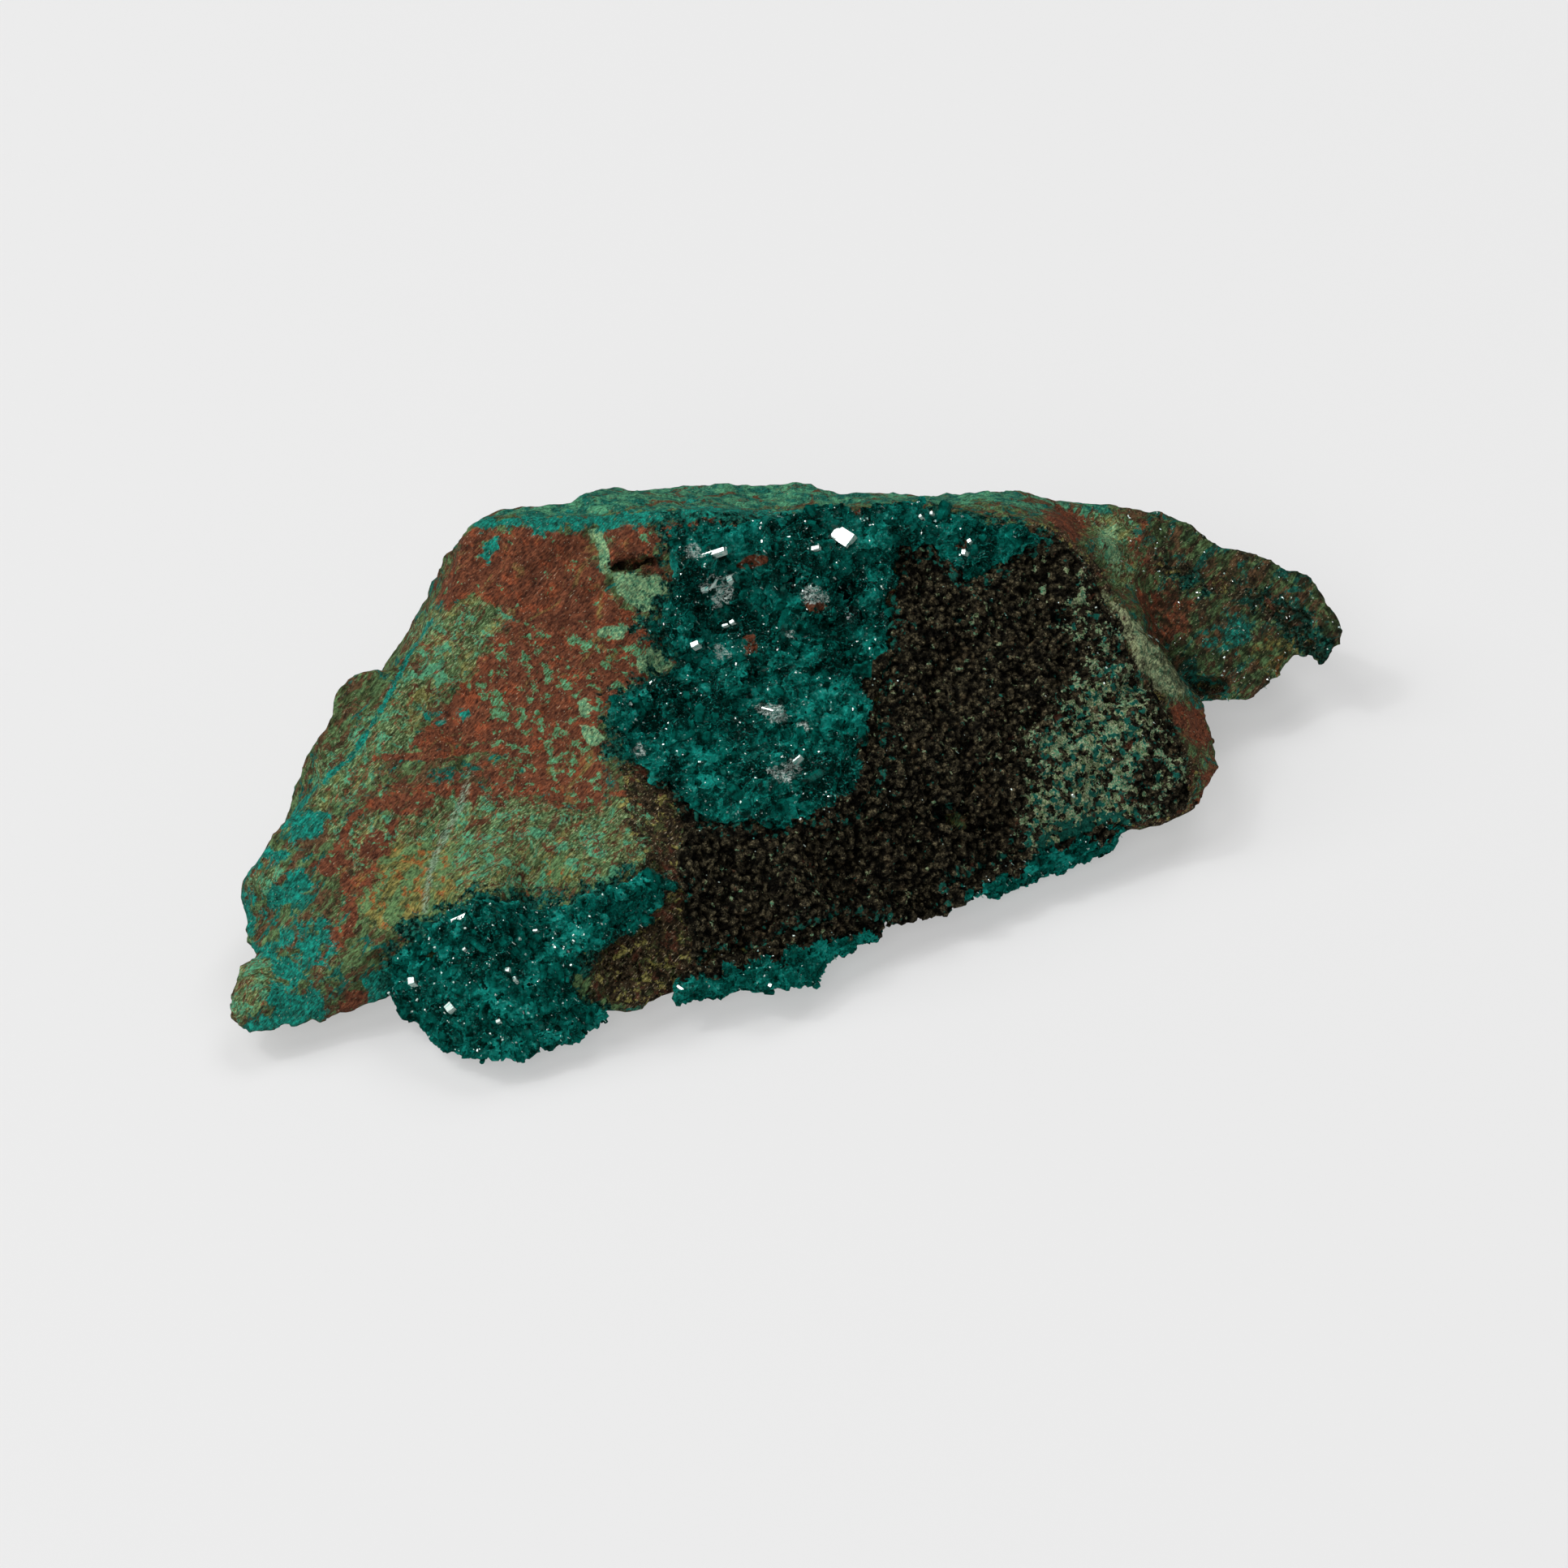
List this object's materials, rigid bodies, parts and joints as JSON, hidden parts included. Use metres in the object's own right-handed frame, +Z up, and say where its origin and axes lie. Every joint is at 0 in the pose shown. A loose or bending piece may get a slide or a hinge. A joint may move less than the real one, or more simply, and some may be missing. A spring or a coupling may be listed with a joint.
{
  "type": "mineral specimen",
  "caption": "Dioptase specimen: green crystal druses and a dark nodular crust on a wedge of copper-stained host rock with a flat broken base.",
  "frame": {"origin": "on the table, under the middle of the specimen", "axes": "+X along the specimen, towards its thin right tip; +Y away from the display face; +Z up"},
  "size_m": [0.1002, 0.0726, 0.0299],
  "materials": {
    "host_rock": "rough broken rock, red-brown iron stain, green and blue-green copper stain, ochre",
    "dark_crust": "brown-black, finely nodular, dull with small glints",
    "dioptase": "deep blue-green crystal, glassy cleavage faces"
  },
  "bodies": {
    "root": {"host_rock": "host_rock", "dark_crust": "dark_crust", "dioptase_main_druse": "dioptase", "dioptase_corner_druse": "dioptase", "dioptase_edge_druse": "dioptase", "dioptase_right_edge_druse": "dioptase"}
  },
  "joints": []
}
